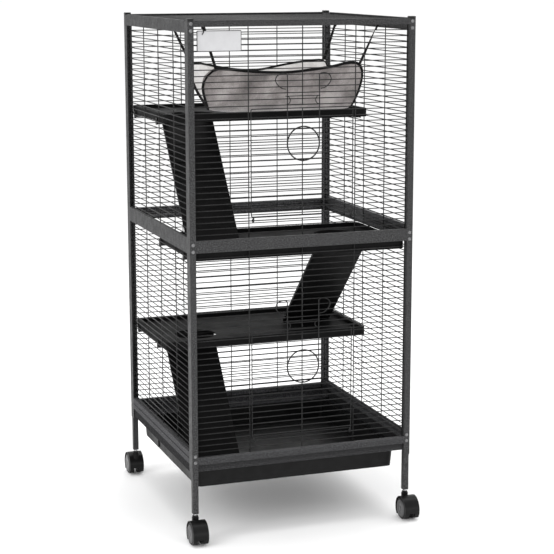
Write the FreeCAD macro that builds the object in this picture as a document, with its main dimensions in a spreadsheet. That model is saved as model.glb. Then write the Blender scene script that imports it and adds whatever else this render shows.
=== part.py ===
import FreeCAD, Part
import math
import os
import re

V = FreeCAD.Vector
doc = FreeCAD.newDocument("cage")

# ---------------------------------------------------------------- sizes (mm)
SIZES = [
    ("half_width", 271.0), ("half_depth", 276.0), ("full_height", 1193.0),
    ("sheet_gauge", 1.2), ("angle_front", 14.0), ("angle_side", 24.0),
    ("angle_bottom", 156.0), ("post_top", 1187.0), ("tube_side", 13.0),
    ("tube_wall", 1.2), ("leg_bottom", 67.4), ("cap_side", 14.2),
    ("bolt_inset", 7.5), ("bolt_head_radius", 4.0), ("bolt_head_rise", 2.2),
    ("bolt_shank_radius", 2.0), ("bolt_hole_radius", 2.1), ("bolt_shank", 1.1),
    ("bolt_a", 1182.0), ("bolt_b", 1166.5), ("bolt_c", 694.5),
    ("bolt_d", 679.0), ("bolt_e", 204.5), ("bolt_f", 190.0),
    ("rail_top", 1189.0), ("top_front_low", 1175.0), ("top_side_low", 1162.0),
    ("mid_front_low", 675.5), ("mid_front_high", 703.3),
    ("mid_side_low", 673.8), ("mid_side_high", 709.6),
    ("base_front_low", 166.4), ("base_front_step", 184.0),
    ("base_front_high", 201.0), ("base_side_step", 181.0),
    ("base_side_groove", 195.2), ("base_side_rail", 196.6),
    ("base_side_high", 210.5), ("base_ledge", 12.8), ("base_recess", 2.8), ("front_recess", 7.0), ("lip_radius", 1.3),
    ("stop_inner", 235.0), ("stop_low", 166.5),
    ("flange_front", 6.6), ("flange_side", 5.2),
    ("runner_low", 161.2), ("runner_gauge", 2.0), ("runner_inner", 250.0),
    ("wire_size", 2.5), ("front_wire", 266.0), ("side_wire", 262.5),
    ("roof_wire", 1182.25), ("wire_pitch", 13.6),
    ("low_panel_low", 186.0), ("low_panel_high", 688.0), ("side_panel_low", 211.0),
    ("up_panel_low", 691.0), ("up_panel_high", 1180.0),
    ("up_wire_ref", 741.0), ("low_wire_ref", 226.0),
    ("quarter_x", 128.5), ("quarter_y", 126.5),
    ("door_half", 124.0), ("door_gap", 7.0), ("door_height", 245.0),
    ("opening_rows", 19.0),
    ("loop_bore", 2.1), ("loop_radius", 3.6), ("loop_length", 6.0),
    ("loop_x", 119.0),
    ("latch_wire", 1.5), ("latch_ring", 38.5), ("latch_y", 271.3),
    ("latch_up_z", 912.0), ("latch_low_z", 395.0), ("latch_leg", 121.0),
    ("latch_loop_w", 28.0), ("latch_loop_h", 37.0),
    ("catch_wire", 1.0), ("catch_y", 268.3), ("catch_radius", 9.5),
    ("plate_left", 250.0), ("plate_right", 147.0), ("plate_low", 1121.0),
    ("plate_high", 1167.0), ("plate_gauge", 1.2),
    ("deck_half", 258.0), ("deck_depth", 295.0), ("deck_height", 20.0),
    ("deck_rim", 8.0), ("deck_floor", 3.0), ("deck_wall", 4.0),
    ("deck_lip", 11.0), ("deck_round", 14.0),
    ("deck_top_z", 944.5), ("deck_mid_z", 655.0), ("deck_low_z", 398.0),
    ("deck_centre_y", 114.5), ("hole_radius", 51.5), ("hole_x", 157.0), ("hole_skirt", 3.0),
    ("hole_y", 70.0),
    ("ramp_axis_y", 117.0), ("ramp_axis_drop", 3.0), ("ramp_width", 128.0),
    ("ramp_length", 350.0), ("ramp_gauge", 6.0), ("ramp_barrel", 4.2),
    ("ramp_bore", 2.1), ("rod_radius", 2.0), ("ramp_x", 160.0),
    ("ramp_rib_pitch", 26.0), ("ramp_rib_rise", 1.2), ("ramp_rib_width", 4.0),
    ("ramp_a_angle", 52.56), ("ramp_b_angle", 44.43), ("ramp_c_angle", 51.88),
    ("tray_top_half", 249.0), ("tray_low_half", 245.5),
    ("tray_front", 233.0), ("tray_back", 236.0), ("tray_low", 116.5),
    ("tray_rim_low", 163.3), ("tray_rim", 2.0), ("tray_rim_half", 255.0),
    ("tray_rim_out", 9.0), ("tray_wall", 3.0), ("tray_taper", 4.0),
    ("tray_round", 12.0),
    ("sling_half", 176.0), ("sling_front", 175.0), ("sling_back", 40.0),
    ("sling_edge", 1079.0), ("sling_bottom", 970.0), ("sling_gauge", 4.0),
    ("strap_width", 6.0), ("strap_gauge", 1.5), ("hook_x", 212.0),
    ("hook_front", 195.0), ("hook_back", 63.4), ("hook_z", 1180.5),
    ("hook_ring", 5.0), ("hook_wire", 1.2),
    ("caster_trail", 18.0), ("wheel_radius", 26.0), ("wheel_inner", 5.2),
    ("wheel_outer", 19.6), ("hood_radius", 30.0), ("hood_half", 18.4),
    ("hood_clear", 27.6), ("web_half", 4.2), ("hood_cut", 6.5),
    ("arch_half", 7.0), ("arch_top", 19.0),
    ("axle_radius", 3.0), ("axle_bore", 3.06), ("stem_radius", 3.5),
    ("stem_bore", 3.56), ("collar_radius", 7.0), ("boss_top", 59.0),
    ("boss_low", 49.0),
]
sheet = doc.addObject("Spreadsheet::Sheet", "sizes")
P = {}
for row, (alias, value) in enumerate(SIZES, start=1):
    sheet.set("A%d" % row, alias)
    sheet.set("B%d" % row, repr(value))
    sheet.setAlias("B%d" % row, alias)
    P[alias] = value
doc.recompute()
NAMES = set(P)


def bind(text):
    return re.sub(r"[a-z][a-z_]*",
                  lambda m: "sizes." + m.group(0) if m.group(0) in NAMES else m.group(0),
                  text)


def put(obj, x=None, y=None, z=None):
    for key, text in (("x", x), ("y", y), ("z", z)):
        if text is not None:
            obj.setExpression("Placement.Base." + key, bind(text))
    return obj


NODES = []
SCRATCH = [0]


def tmp(prefix):
    SCRATCH[0] += 1
    return "%s_%d" % (prefix, SCRATCH[0])


def node(obj, name):
    obj.Label = name
    NODES.append((name, obj))
    return obj


def box(length, width, height, x, y, z, prefix="slab"):
    o = doc.addObject("Part::Box", tmp(prefix))
    o.setExpression("Length", bind(length))
    o.setExpression("Width", bind(width))
    o.setExpression("Height", bind(height))
    return put(o, x, y, z)


def span(x0, x1, y0, y1, z0, z1):
    """Box between two limits on every axis, each limit a text formula."""
    return box("(%s)-(%s)" % (x1, x0), "(%s)-(%s)" % (y1, y0),
               "(%s)-(%s)" % (z1, z0), x0, y0, z0)


AXES = {"x": FreeCAD.Rotation(V(0, 1, 0), 90), "y": FreeCAD.Rotation(V(1, 0, 0), -90),
        "z": FreeCAD.Rotation()}


def cyl(radius, height, x, y, z, axis="z"):
    o = doc.addObject("Part::Cylinder", tmp("round"))
    o.setExpression("Radius", bind(radius))
    o.setExpression("Height", bind(height))
    o.Placement = FreeCAD.Placement(V(0, 0, 0), AXES[axis])
    return put(o, x, y, z)


def fuse(parts):
    o = doc.addObject("Part::MultiFuse", tmp("joined"))
    o.Shapes = parts
    o.Refine = True
    return o


def cut(base, tool):
    o = doc.addObject("Part::Cut", tmp("shaped"))
    o.Base = base
    o.Tool = tool
    o.Refine = True
    return o


def raw(shape, name):
    o = doc.addObject("Part::Feature", name)
    o.Shape = shape
    return node(o, name)


def neg(lo, hi, sign):
    """Limits mirrored to the side that sign names."""
    return (lo, hi) if sign > 0 else ("-(%s)" % hi, "-(%s)" % lo)


CORNERS = [("front_left", -1, -1), ("front_right", 1, -1),
           ("back_left", -1, 1), ("back_right", 1, 1)]
BOLTS = ["bolt_a", "bolt_b", "bolt_c", "bolt_d", "bolt_e", "bolt_f"]

# ------------------------------------------------- corner tubes and angles
for cname, sx, sy in CORNERS:
    xo = neg("half_width-sheet_gauge-tube_side", "half_width-sheet_gauge", sx)
    yo = neg("half_depth-sheet_gauge-tube_side", "half_depth-sheet_gauge", sy)
    xi = neg("half_width-sheet_gauge-tube_side+tube_wall",
             "half_width-sheet_gauge-tube_wall", sx)
    yi = neg("half_depth-sheet_gauge-tube_side+tube_wall",
             "half_depth-sheet_gauge-tube_wall", sy)
    outer = span(xo[0], xo[1], yo[0], yo[1], "leg_bottom", "post_top")
    inner = span(xi[0], xi[1], yi[0], yi[1], "leg_bottom-1", "post_top+1")
    node(cut(outer, inner), "corner_tube_" + cname)

    fx = neg("half_width-angle_front", "half_width", sx)
    fy = neg("half_depth-sheet_gauge", "half_depth", sy)
    gx = neg("half_width-sheet_gauge", "half_width", sx)
    gy = neg("half_depth-angle_side", "half_depth", sy)
    leg_a = span(fx[0], fx[1], fy[0], fy[1], "angle_bottom", "post_top")
    leg_b = span(gx[0], gx[1], gy[0], gy[1], "angle_bottom", "post_top")
    holes = []
    for b in BOLTS:
        holes.append(cyl("bolt_hole_radius", "sheet_gauge+2",
                         "%s(half_width-bolt_inset)" % ("" if sx > 0 else "-"),
                         "half_depth-sheet_gauge-1" if sy > 0 else "-half_depth-1",
                         b, "y"))
    node(cut(fuse([leg_a, leg_b]), fuse(holes)), "corner_angle_" + cname)

# ---------------------------------------------------- caps and frame bolts
caps = []
for cname, sx, sy in CORNERS:
    c = Part.makeBox(P["cap_side"], P["cap_side"], P["full_height"] - P["post_top"])
    tops = [e for e in c.Edges
            if min(v.Z for v in e.Vertexes) > P["full_height"] - P["post_top"] - 0.01]
    c = c.makeFillet(0.9, tops)
    c.translate(V(sx * (P["half_width"] - P["cap_side"] / 2) - P["cap_side"] / 2,
                  sy * (P["half_depth"] - P["cap_side"] / 2) - P["cap_side"] / 2,
                  P["post_top"]))
    caps.append(c)
raw(Part.makeCompound(caps), "post_caps")

bolts = []
rise, head = P["bolt_head_rise"], P["bolt_head_radius"]
ball = (head * head + rise * rise) / (2 * rise)
for cname, sx, sy in CORNERS:
    for b in BOLTS:
        dome = Part.makeSphere(ball, V(0, 0, rise - ball)).common(
            Part.makeCylinder(head + 1, rise, V(0, 0, 0)))
        bolt = dome.fuse(Part.makeCylinder(P["bolt_shank_radius"],
                                           P["bolt_shank"] + 0.5,
                                           V(0, 0, -P["bolt_shank"]))).removeSplitter()
        bolt.rotate(V(0, 0, 0), V(1, 0, 0), 90 if sy < 0 else -90)
        bolt.translate(V(sx * (P["half_width"] - P["bolt_inset"]),
                         sy * P["half_depth"], P[b]))
        bolts.append(bolt)
raw(Part.makeCompound(bolts), "frame_bolts")

# ------------------------------------------------------------------- rails
IN_X = "half_width-sheet_gauge-tube_side"
IN_Y = "half_depth-sheet_gauge-tube_side"
ANG_X = "half_width-angle_front"
ANG_Y = "half_depth-angle_side"


def front_strip(sy, z0, z1):
    y = neg("half_depth-sheet_gauge", "half_depth", sy)
    return span("-(%s)" % ANG_X, ANG_X, y[0], y[1], z0, z1)


def front_flange(sy, z0, z1):
    y = neg("half_depth-sheet_gauge-flange_front", "half_depth-sheet_gauge", sy)
    return span("-(%s)" % IN_X, IN_X, y[0], y[1], z0, z1)


def side_strip(sx, z0, z1):
    x = neg("half_width-sheet_gauge", "half_width", sx)
    return span(x[0], x[1], "-(%s)" % ANG_Y, ANG_Y, z0, z1)


def side_flange(sx, z0, z1):
    x = neg("half_width-sheet_gauge-flange_side", "half_width-sheet_gauge", sx)
    return span(x[0], x[1], "-(%s)" % ANG_Y, ANG_Y, z0, z1)


for rname, sy in (("front", -1), ("back", 1)):
    node(fuse([front_strip(sy, "top_front_low", "rail_top"),
               front_flange(sy, "rail_top-sheet_gauge", "rail_top")]),
         "top_rail_" + rname)
    node(fuse([front_strip(sy, "mid_front_low", "mid_front_high"),
               front_flange(sy, "mid_front_high-sheet_gauge", "mid_front_high"),
               front_flange(sy, "mid_front_low", "mid_front_low+sheet_gauge")]),
         "mid_rail_" + rname)
    ys = neg("half_depth-sheet_gauge-front_recess", "half_depth-sheet_gauge", sy)
    yb = neg("half_depth-sheet_gauge-front_recess", "half_depth-front_recess", sy)
    lip_y = "%s(half_depth-front_recess-0.4)" % ("" if sy > 0 else "-")
    stop = []
    if sy > 0:
        # folded edge above the back rim of the tray
        stop.append(span("-(%s)+1" % IN_X, IN_X + "-1", "stop_inner",
                         "half_depth-front_recess-0.6", "stop_low", "stop_low+sheet_gauge"))
    node(fuse(stop + [front_strip(sy, "base_front_step", "base_front_high"),
               front_flange(sy, "base_front_high-sheet_gauge", "base_front_high"),
               span("-(%s)" % IN_X, IN_X, ys[0], ys[1],
                    "base_front_step", "base_front_step+sheet_gauge"),
               span("-(%s)" % IN_X, IN_X, yb[0], yb[1],
                    "base_front_low+lip_radius", "base_front_step+sheet_gauge"),
               cyl("lip_radius", "2*(%s)" % IN_X, "-(%s)" % IN_X, lip_y,
                   "base_front_low+lip_radius", "x")]),
         "base_rail_" + rname)

for rname, sx in (("left", -1), ("right", 1)):
    node(fuse([side_strip(sx, "top_side_low", "rail_top"),
               side_flange(sx, "rail_top-sheet_gauge", "rail_top")]),
         "top_rail_" + rname)
    node(fuse([side_strip(sx, "mid_side_low", "mid_side_high"),
               side_flange(sx, "mid_side_high-sheet_gauge", "mid_side_high"),
               side_flange(sx, "mid_side_low", "mid_side_low+sheet_gauge")]),
         "mid_rail_" + rname)
    groove = neg("half_width-2*sheet_gauge", "half_width-sheet_gauge", sx)
    xs = neg("half_width-sheet_gauge-base_recess", "half_width-sheet_gauge", sx)
    xb = neg("half_width-sheet_gauge-base_recess", "half_width-base_recess", sx)
    xr = neg("runner_inner", "half_width-base_recess", sx)
    ledge = neg("half_width-sheet_gauge-base_ledge", "half_width-sheet_gauge", sx)
    node(fuse([side_strip(sx, "base_side_rail", "base_side_high"),
               span(ledge[0], ledge[1], "-(%s)" % ANG_Y, ANG_Y,
                    "base_side_high-sheet_gauge", "base_side_high"),
               span(groove[0], groove[1], "-(%s)" % ANG_Y, ANG_Y,
                    "base_side_groove-2", "base_side_rail+2"),
               side_strip(sx, "base_side_step", "base_side_groove"),
               span(xs[0], xs[1], "-(%s)" % ANG_Y, ANG_Y,
                    "base_side_step", "base_side_step+sheet_gauge"),
               span(xb[0], xb[1], "-(%s)" % ANG_Y, ANG_Y,
                    "runner_low", "base_side_step+sheet_gauge"),
               span(xr[0], xr[1], "-(%s)" % ANG_Y, ANG_Y,
                    "runner_low", "runner_low+runner_gauge")]),
         "base_rail_" + rname)

# ------------------------------------------------------------- wire panels
WS = P["wire_size"]


def grid(us, vs):
    """Flat welded grid in the XY plane between the outer wires of us and vs."""
    hw = WS / 2.0

    def ring(a0, a1, b0, b1):
        return Part.makePolygon([V(a0, b0, 0), V(a1, b0, 0), V(a1, b1, 0),
                                 V(a0, b1, 0), V(a0, b0, 0)])
    loops = [ring(us[0] - hw, us[-1] + hw, vs[0] - hw, vs[-1] + hw)]
    for i in range(len(us) - 1):
        for j in range(len(vs) - 1):
            loops.append(ring(us[i] + hw, us[i + 1] - hw, vs[j] + hw, vs[j + 1] - hw))
    face = Part.makeFace(loops, "Part::FaceMakerBullseye")
    solid = face.extrude(V(0, 0, WS))
    solid.translate(V(0, 0, -hw))
    return solid


def upright_front(solid, y):
    solid.rotate(V(0, 0, 0), V(1, 0, 0), 90)
    solid.translate(V(0, y, 0))
    return solid


def upright_side(solid, x):
    solid.rotate(V(0, 0, 0), V(1, 0, 0), 90)
    solid.rotate(V(0, 0, 0), V(0, 0, 1), 90)
    solid.translate(V(x, 0, 0))
    return solid


def rows(low, high, ref):
    hw = WS / 2.0
    got = [low + hw]
    first = math.ceil((low + 5.0 - ref) / P["wire_pitch"])
    k = first
    while ref + k * P["wire_pitch"] < high - 5.0:
        got.append(ref + k * P["wire_pitch"])
        k += 1
    got.append(high - hw)
    return got


in_x = P["half_width"] - P["sheet_gauge"] - P["tube_side"]
in_y = P["half_depth"] - P["sheet_gauge"] - P["tube_side"]
qx, qy = P["quarter_x"], P["quarter_y"]
edge_x, edge_y = in_x - WS / 2.0, in_y - WS / 2.0
up_rows = rows(P["up_panel_low"], P["up_panel_high"], P["up_wire_ref"])
low_rows = rows(P["low_panel_low"], P["low_panel_high"], P["low_wire_ref"])
side_rows = rows(P["side_panel_low"], P["low_panel_high"], P["low_wire_ref"])


def front_panel(vs, ref):
    top = ref + P["opening_rows"] * P["wire_pitch"]
    above = [v for v in vs if v > top - 0.01]
    below = [v for v in vs if v < ref + 0.01]
    inner = qx - WS
    pieces = [grid([-edge_x, -qx], vs), grid([qx, edge_x], vs),
              grid([-inner, 0, inner], above), grid([-inner, 0, inner], below)]
    return Part.makeCompound([upright_front(p, -P["front_wire"]) for p in pieces])


raw(front_panel(up_rows, P["up_wire_ref"]), "wire_panel_front_upper")
raw(front_panel(low_rows, P["low_wire_ref"]), "wire_panel_front_lower")
full_x = [-edge_x, -qx, 0, qx, edge_x]
full_y = [-edge_y, -qy, 0, qy, edge_y]
raw(Part.makeCompound([upright_front(grid(full_x, low_rows), P["front_wire"]),
                       upright_front(grid(full_x, up_rows), P["front_wire"])]),
    "wire_panel_back")
raw(Part.makeCompound([upright_side(grid(full_y, side_rows), -P["side_wire"]),
                       upright_side(grid(full_y, up_rows), -P["side_wire"])]),
    "wire_panel_left")
raw(Part.makeCompound([upright_side(grid(full_y, side_rows), P["side_wire"]),
                       upright_side(grid(full_y, up_rows), P["side_wire"])]),
    "wire_panel_right")
roof_edge = P["half_depth"] - 9.0 - WS / 2.0
roof_rows = [-roof_edge + WS / 2.0 + 0.0]
k = math.ceil((-roof_edge + 6.0 + P["hook_front"]) / P["wire_pitch"])
while -P["hook_front"] + k * P["wire_pitch"] < roof_edge - 6.0:
    roof_rows.append(-P["hook_front"] + k * P["wire_pitch"])
    k += 1
roof_rows.append(roof_edge - WS / 2.0)
roof = grid([-edge_x, -qx, 0, qx, edge_x], roof_rows)
roof.translate(V(0, 0, P["roof_wire"]))
for sx in (-1, 1):
    for sy in (-1, 1):
        notch = Part.makeBox(16, 20, 20)
        notch.translate(V(sx * 263.0 - 8, sy * 266.0 - 10, P["roof_wire"] - 10))
        roof = roof.cut(notch)
raw(roof, "wire_panel_roof")

# ------------------------------------------------------------------- doors
for dname, ref, zc in (("upper", P["up_wire_ref"], P["latch_up_z"]),
                       ("lower", P["low_wire_ref"], P["latch_low_z"])):
    hw = WS / 2.0
    low = ref + P["door_gap"]
    high = low + P["door_height"]
    vs = [low + hw]
    k = 1
    while ref + k * P["wire_pitch"] < high - 4.0:
        if ref + k * P["wire_pitch"] > low + 4.0:
            vs.append(ref + k * P["wire_pitch"])
        k += 1
    vs.append(high - hw)
    ex = P["door_half"] - hw
    leaf = upright_front(grid([-ex, 0, ex], vs), -P["front_wire"])
    half_len = P["loop_length"] / 2.0
    for sx in (-1, 1):
        x0 = sx * P["loop_x"] - half_len
        eye = Part.makeCylinder(P["loop_radius"], P["loop_length"],
                                V(x0, -P["front_wire"], ref), V(1, 0, 0))
        tab = Part.makeBox(P["loop_length"], 2.0, low + 1.0 - ref,
                           V(x0, -P["front_wire"] - 1.0, ref))
        bore = Part.makeCylinder(P["loop_bore"], P["loop_length"] + 2,
                                 V(x0 - 1, -P["front_wire"], ref), V(1, 0, 0))
        leaf = leaf.fuse(eye.fuse(tab).cut(bore))
    keep = Part.makeBox(10, 1.1, 6, V(-5, -P["front_wire"] - hw - 1.1,
                                      zc - P["latch_ring"] - 3))
    leaf = leaf.fuse(keep).removeSplitter()
    raw(leaf, "door_" + dname)


# -------------------------------------------------------- door latch wires
def pipe(edges, radius):
    wire = Part.Wire(edges)
    e = wire.OrderedEdges[0]
    start = e.valueAt(e.FirstParameter)
    tangent = e.tangentAt(e.FirstParameter)
    if e.Orientation == "Reversed":
        start = e.valueAt(e.LastParameter)
        tangent = e.tangentAt(e.LastParameter) * -1
    prof = Part.Wire([Part.makeCircle(radius, start, tangent)])
    sweep = Part.BRepOffsetAPI.MakePipeShell(wire)
    sweep.setFrenetMode(True)
    sweep.setTransitionMode(1)
    sweep.add(prof)
    sweep.build()
    sweep.makeSolid()
    return sweep.shape()


def arc(cx, cz, r, a0, am, a1, y):
    pts = [V(cx + r * math.cos(math.radians(a)), y, cz + r * math.sin(math.radians(a)))
           for a in (a0, am, a1)]
    return Part.Arc(*pts).toShape()


def flat(edges, y0, thick):
    """Solid cut from a flat outline in the XZ plane."""
    return Part.Face(Part.Wire(edges)).extrude(V(0, thick, 0))


def sector(zc, r0, r1, gap, y):
    a = 90 - gap
    out = arc(0, zc, r1, -a, 0, a, y)
    inn = arc(0, zc, r0, a, 0, -a, y)

    def at(r, d):
        return V(r * math.cos(math.radians(d)), y, zc + r * math.sin(math.radians(d)))
    return flat([out, Part.makeLine(at(r1, a), at(r0, a)), inn,
                 Part.makeLine(at(r0, -a), at(r1, -a))], y, 2 * P["latch_wire"])


def bow(x0, xc, z0, z1, y):
    r = (z1 - z0) / 2.0
    return flat([Part.makeLine(V(x0, y, z0), V(xc, y, z0)),
                 arc(xc, z0 + r, r, -90, 0, 90, y),
                 Part.makeLine(V(xc, y, z1), V(x0, y, z1)),
                 Part.makeLine(V(x0, y, z1), V(x0, y, z0))], y, 2 * P["latch_wire"])


def latch_arm(sx, zc):
    r, lw = P["latch_ring"], P["latch_wire"]
    y = -P["latch_y"] - lw
    half = sector(zc, r - lw, r + lw, 0.45, y)
    top = zc + P["latch_leg"]
    w, h = P["latch_loop_w"], P["latch_loop_h"]
    lr = h / 2.0
    x_leg = r - 0.5
    leg = Part.makeBox(2 * lw, 2 * lw, top + h / 2.0 - zc, V(x_leg - lw, y, zc))
    eye = bow(x_leg - lw, r + w - lr, top - lw, top + h + lw, y).cut(
        bow(x_leg + lw, r + w - lr, top + lw, top + h - lw, y))
    arm = half.fuse([leg, eye]).removeSplitter()
    if sx < 0:
        arm = arm.mirror(V(0, 0, 0), V(1, 0, 0))
    return arm


for dname, zc in (("upper", P["latch_up_z"]), ("lower", P["latch_low_z"])):
    raw(latch_arm(-1, zc), "latch_%s_left_arm" % dname)
    raw(latch_arm(1, zc), "latch_%s_right_arm" % dname)
    r = P["catch_radius"]
    y = -P["catch_y"]
    cr = P["catch_wire"]
    bar = Part.makeBox(84, 2.0, 2.0, V(-42, y - 1.0, zc + 106))
    low_bar = Part.makeBox(60, 2.0, 2.0, V(-30, y - 1.0, zc + 106 - 2 * r))
    hooks = [pipe([arc(sx * 40.0, zc + 107 - r, r, 90, 180 if sx > 0 else 0, 270, y)], cr)
             if sx > 0 else
             pipe([arc(sx * 40.0, zc + 107 - r, r, 90, 0, -90, y)], cr)
             for sx in (-1, 1)]
    raw(bar.fuse([low_bar] + hooks), "door_catch_" + dname)

# -------------------------------------------------------------- blank plate
node(span("-plate_left", "-plate_right",
          "-(front_wire+wire_size/2+plate_gauge)", "-(front_wire+wire_size/2)",
          "plate_low", "plate_high"), "name_plate")
node(span("-(plate_left-13)", "-(plate_left-19)",
          "-(front_wire+wire_size/2+plate_gauge+1.4)",
          "-(front_wire+wire_size/2+plate_gauge)",
          "plate_high-9", "plate_high+8"), "name_plate_hook")


# -------------------------------------------------- platforms (PartDesign)
def plane(body, role):
    for f in body.Origin.OriginFeatures:
        if f.Role == role:
            return f


def sketch(body, offset=None, role="XY_Plane"):
    sk = body.newObject("Sketcher::SketchObject", tmp("profile"))
    sk.AttachmentSupport = [(plane(body, role), "")]
    sk.MapMode = "FlatFace"
    if offset is not None:
        sk.setExpression("AttachmentOffset.Base.z", bind(offset))
    return sk


import Sketcher


def rect(sk, w, d, tag):
    """Rectangle centred on the sketch origin, sizes given as formulas."""
    n = sk.GeometryCount
    a, b = 50.0, 40.0
    pts = [V(-a, -b, 0), V(a, -b, 0), V(a, b, 0), V(-a, b, 0)]
    for i in range(4):
        sk.addGeometry(Part.LineSegment(pts[i], pts[(i + 1) % 4]), False)
    for i in range(4):
        sk.addConstraint(Sketcher.Constraint("Coincident", n + i, 2, n + (i + 1) % 4, 1))
    for i, kind in enumerate(("Horizontal", "Vertical", "Horizontal", "Vertical")):
        sk.addConstraint(Sketcher.Constraint(kind, n + i))
    sk.addConstraint(Sketcher.Constraint("Symmetric", n, 1, n + 1, 2, -1, 1))
    c = sk.addConstraint(Sketcher.Constraint("DistanceX", n, 1, n, 2, 2 * a))
    sk.renameConstraint(c, tag + "_w")
    c = sk.addConstraint(Sketcher.Constraint("DistanceY", n + 1, 1, n + 1, 2, 2 * b))
    sk.renameConstraint(c, tag + "_d")
    sk.setExpression("Constraints.%s_w" % tag, bind(w))
    sk.setExpression("Constraints.%s_d" % tag, bind(d))


def round_uprights(body, last, radius, zlo, half):
    """Fillet the upright corner edges that stand at the outline given by half."""
    doc.recompute()
    names = []
    for i, e in enumerate(last.Shape.Edges):
        if len(e.Vertexes) != 2:
            continue
        p, q = e.Vertexes[0].Point, e.Vertexes[1].Point
        if abs(p.x - q.x) < 1e-6 and abs(p.y - q.y) < 1e-6 \
                and abs(abs(p.x) - half[0]) < 0.01 and abs(abs(p.y) - half[1]) < 0.01:
            names.append("Edge%d" % (i + 1))
    f = body.newObject("PartDesign::Fillet", tmp("rounding"))
    f.Base = (last, names)
    f.setExpression("Radius", bind(radius))
    return f


DECKS = [("top", "deck_top_z", 1), ("middle", "deck_mid_z", -1), ("low", "deck_low_z", 1)]
for dname, zkey, turn in DECKS:
    body = doc.addObject("PartDesign::Body", "platform_" + dname)
    sk = sketch(body)
    rect(sk, "2*deck_half", "deck_depth", "outline")
    pad = body.newObject("PartDesign::Pad", tmp("slab"))
    pad.Profile = sk
    pad.setExpression("Length", bind("deck_height"))
    f = round_uprights(body, pad, "deck_round", 0,
                       (P["deck_half"], P["deck_depth"] / 2.0))
    sk = sketch(body, "deck_height")
    rect(sk, "2*(deck_half-deck_lip)", "deck_depth-2*deck_lip", "recess")
    pocket = body.newObject("PartDesign::Pocket", tmp("recess"))
    pocket.Profile = sk
    pocket.setExpression("Length", bind("deck_rim"))
    doc.recompute()
    under = sketch(body)
    rect(under, "2*(deck_half-deck_wall)", "deck_depth-2*deck_wall", "under")
    hollow = body.newObject("PartDesign::Pocket", tmp("hollow"))
    hollow.Profile = under
    hollow.setExpression("Length", bind("deck_height-deck_rim-deck_floor"))
    doc.recompute()
    if abs(hollow.Shape.Volume - pocket.Shape.Volume) < 1.0:
        hollow.Reversed = True
    doc.recompute()
    sk = sketch(body)
    sk.addGeometry(Part.Circle(V(-100, -40, 0), V(0, 0, 1), 40), False)
    c = sk.addConstraint(Sketcher.Constraint("Radius", 0, 40))
    sk.renameConstraint(c, "hole_r")
    sk.setExpression("Constraints.hole_r", bind("hole_radius"))
    c = sk.addConstraint(Sketcher.Constraint("DistanceX", 0, 3, -1, 1, 100))
    sk.renameConstraint(c, "hole_dx")
    sk.setExpression("Constraints.hole_dx", bind("hole_x"))
    c = sk.addConstraint(Sketcher.Constraint("DistanceY", 0, 3, -1, 1, 40))
    sk.renameConstraint(c, "hole_dy")
    sk.setExpression("Constraints.hole_dy", bind("deck_centre_y-hole_y"))
    hole = body.newObject("PartDesign::Pocket", tmp("hole"))
    hole.Profile = sk
    hole.Type = "ThroughAll"
    hole.Midplane = True
    doc.recompute()
    body.Tip = hole
    # bearing lugs that carry the ramp rod below the far edge of the hole
    lugs = []
    for s in (-1, 1):
        mid = "-ramp_x%+d*(ramp_width/2+5)" % s
        lug = box("6", "12", "deck_height-deck_rim-deck_floor+4", mid + "-3",
                  "ramp_axis_y-deck_centre_y-6", "-2")
        lugs.append(lug)
    # skirt round the far half of the hole
    skirt = cut(cyl("hole_radius+hole_skirt", "deck_height-deck_rim-deck_floor+0.5",
                    "-hole_x", "hole_y-deck_centre_y", "0", "z"),
                fuse([cyl("hole_radius", "deck_height", "-hole_x", "hole_y-deck_centre_y", "-5", "z"),
                      box("2*hole_radius+20", "hole_radius+20", "deck_height+10",
                          "-hole_x-hole_radius-10", "hole_y-deck_centre_y-6", "-5")]))
    # rib behind the rod, from lug to lug
    rib = box("168", "3", "deck_height-deck_rim-deck_floor+2.5", "-ramp_x-76",
              "ramp_axis_y-deck_centre_y+5.5", "-2")
    whole = fuse([body, skirt, rib] + lugs)
    bore = cyl("rod_radius", "ramp_width+40", "-ramp_x-(ramp_width+40)/2",
               "ramp_axis_y-deck_centre_y", "ramp_axis_drop", "x")
    deck = cut(whole, bore)
    deck.Placement = FreeCAD.Placement(
        V(0, 0, 0), FreeCAD.Rotation(V(0, 0, 1), 0 if turn > 0 else 180))
    put(deck, "0", "%sdeck_centre_y" % ("" if turn > 0 else "-"), zkey)
    node(deck, "platform_" + dname)

# ------------------------------------------------ platform clips, ramp rods
clips = []
CLIP_Y = {"top": (26.0, 226.0), "middle": (12.0, -188.0), "low": (46.0, 226.0)}
for dname, zkey, turn in DECKS:
    z0 = P[zkey]
    for sx in (-1, 1):
        for yy in CLIP_Y[dname]:
            face = P["side_wire"] - WS / 2.0
            up = Part.makeBox(2.0, 12, 16)
            up.translate(V(face - 2.0 if sx > 0 else -face, yy - 6, z0 - 8))
            ledge = Part.makeBox(face - 246.0, 12, 7.0)
            ledge.translate(V(246.0 if sx > 0 else -face, yy - 6, z0 - 7.0))
            clips.append(up.fuse(ledge).removeSplitter())
raw(Part.makeCompound(clips), "platform_clips")

rods = []
for dname, zkey, turn in DECKS:
    length = P["ramp_width"] + 16.0
    rods.append(Part.makeCylinder(P["rod_radius"], length,
                                  V(-turn * P["ramp_x"] - length / 2.0,
                                    turn * P["ramp_axis_y"],
                                    P[zkey] + P["ramp_axis_drop"]), V(1, 0, 0)))
raw(Part.makeCompound(rods), "ramp_hinge_rods")

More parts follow.
